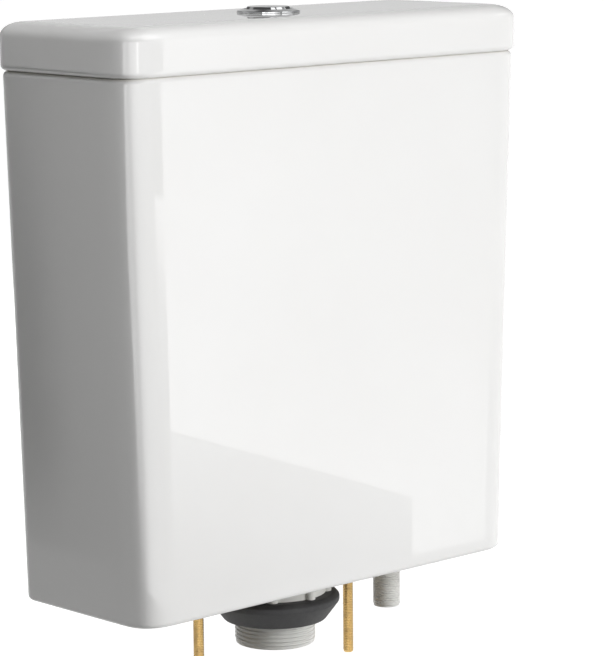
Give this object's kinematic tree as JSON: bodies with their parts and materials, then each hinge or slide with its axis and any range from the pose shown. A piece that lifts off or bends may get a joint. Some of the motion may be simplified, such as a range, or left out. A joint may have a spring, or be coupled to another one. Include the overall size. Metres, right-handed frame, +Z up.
{
  "type": "toilet cistern",
  "caption": "close coupled toilet cistern: a slim glazed tank with a lift-off lid, a split push button, and dual flush and float valves inside",
  "frame": {"origin": "centre of the coupling bolts and of the flush outlet, on the tank's underside", "axes": "+Z up, -Y to the front, +Y to the wall, +X to the right when facing the wall"},
  "size_m": [0.3896, 0.1408, 0.4905],
  "materials": {
    "glaze": "gloss",
    "chrome": "polished",
    "white_plastic": "satin",
    "grey_plastic": "satin",
    "blue_plastic": "satin",
    "green_plastic": "satin",
    "black_rubber": "matte",
    "red_rubber": "satin",
    "foam_rubber": "matte",
    "steel": "satin",
    "brass": "satin"
  },
  "bodies": {
    "cistern": {"tank": "glaze", "flush_base": "white_plastic", "flush_washer": "black_rubber", "flush_nut": "white_plastic", "coupling_seal": "black_rubber", "flush_cage": "white_plastic", "tower_foot": "white_plastic", "tower_posts": "white_plastic", "tower_head": "grey_plastic", "rocker_pins": "steel", "fill_shank": "white_plastic", "inlet_filter": "green_plastic", "fill_washer": "black_rubber", "fill_nut": "white_plastic", "fill_riser": "white_plastic", "riser_lock": "blue_plastic", "fill_head": "white_plastic", "fill_diaphragm": "black_rubber", "fill_cap": "grey_plastic", "lever_pin": "steel", "coupling_bolts": "brass", "bolt_seals": "black_rubber", "bolt_washers": "steel"},
    "lid_unit": {"lid": "glaze", "lid_buffers": "foam_rubber", "button_bezel": "chrome", "button_sleeve": "grey_plastic", "button_nut": "grey_plastic", "button_gasket": "foam_rubber", "full_spring": "steel", "half_spring": "steel"},
    "full_button_unit": {"full_button": "chrome", "full_push_rod": "white_plastic"},
    "half_button_unit": {"half_button": "chrome", "half_push_rod": "white_plastic"},
    "full_rocker_unit": {"full_rocker": "blue_plastic"},
    "half_rocker_unit": {"half_rocker": "blue_plastic"},
    "half_lift_unit": {"half_lift_link": "blue_plastic", "half_float": "blue_plastic"},
    "overflow_unit": {"overflow_tube": "white_plastic", "flush_seal": "red_rubber", "seal_retainer": "grey_plastic", "full_lift_link": "grey_plastic", "full_float": "grey_plastic"},
    "float_unit": {"float_cup": "white_plastic", "float_link": "white_plastic", "float_nuts": "grey_plastic"},
    "lever_unit": {"fill_lever": "blue_plastic"}
  },
  "joints": [
    {"name": "lid_lift", "type": "slide", "parent": "cistern", "child": "lid_unit", "axis": [0, 0, 1], "range_m": [0, 0.2]},
    {"name": "full_press", "type": "slide", "parent": "lid_unit", "child": "full_button_unit", "axis": [0, 0, -1], "range_m": [0, 0.007], "stiffness_N_per_m": 300, "springref_m": -0.003, "deforming": ["full_spring"]},
    {"name": "half_press", "type": "slide", "parent": "lid_unit", "child": "half_button_unit", "axis": [0, 0, -1], "range_m": [0, 0.007], "stiffness_N_per_m": 300, "springref_m": -0.003, "deforming": ["half_spring"]},
    {"name": "full_rock", "type": "hinge", "parent": "cistern", "child": "full_rocker_unit", "pos_m": [-0.006, -0.0042, 0.292], "axis": [0, 1, 0], "range_deg": [0, 24.6]},
    {"name": "half_rock", "type": "hinge", "parent": "cistern", "child": "half_rocker_unit", "pos_m": [0.006, 0.0042, 0.292], "axis": [0, -1, 0], "range_deg": [0, 24.6]},
    {"name": "half_lift", "type": "slide", "parent": "cistern", "child": "half_lift_unit", "axis": [0, 0, 1], "range_m": [0, 0.0154]},
    {"name": "full_lift", "type": "slide", "parent": "half_lift_unit", "child": "overflow_unit", "axis": [0, 0, 1], "range_m": [0, 0.0154]},
    {"name": "float_rise", "type": "slide", "parent": "cistern", "child": "float_unit", "axis": [0, 0, 1], "range_m": [0, 0.012]},
    {"name": "lever_swing", "type": "hinge", "parent": "cistern", "child": "lever_unit", "pos_m": [0.129, 0, 0.275], "axis": [0, -1, 0], "range_deg": [0, 16]}
  ],
  "couplings": [
    {"joint": "full_rock", "follows": "full_press", "rad_per_m": 60.932},
    {"joint": "half_rock", "follows": "half_press", "rad_per_m": 60.932},
    {"joint": "half_lift", "follows": "half_press", "ratio": 2.1848},
    {"joint": "full_lift", "follows": "full_press", "ratio": 2.1848},
    {"joint": "lever_swing", "follows": "float_rise", "rad_per_m": 23.163}
  ]
}
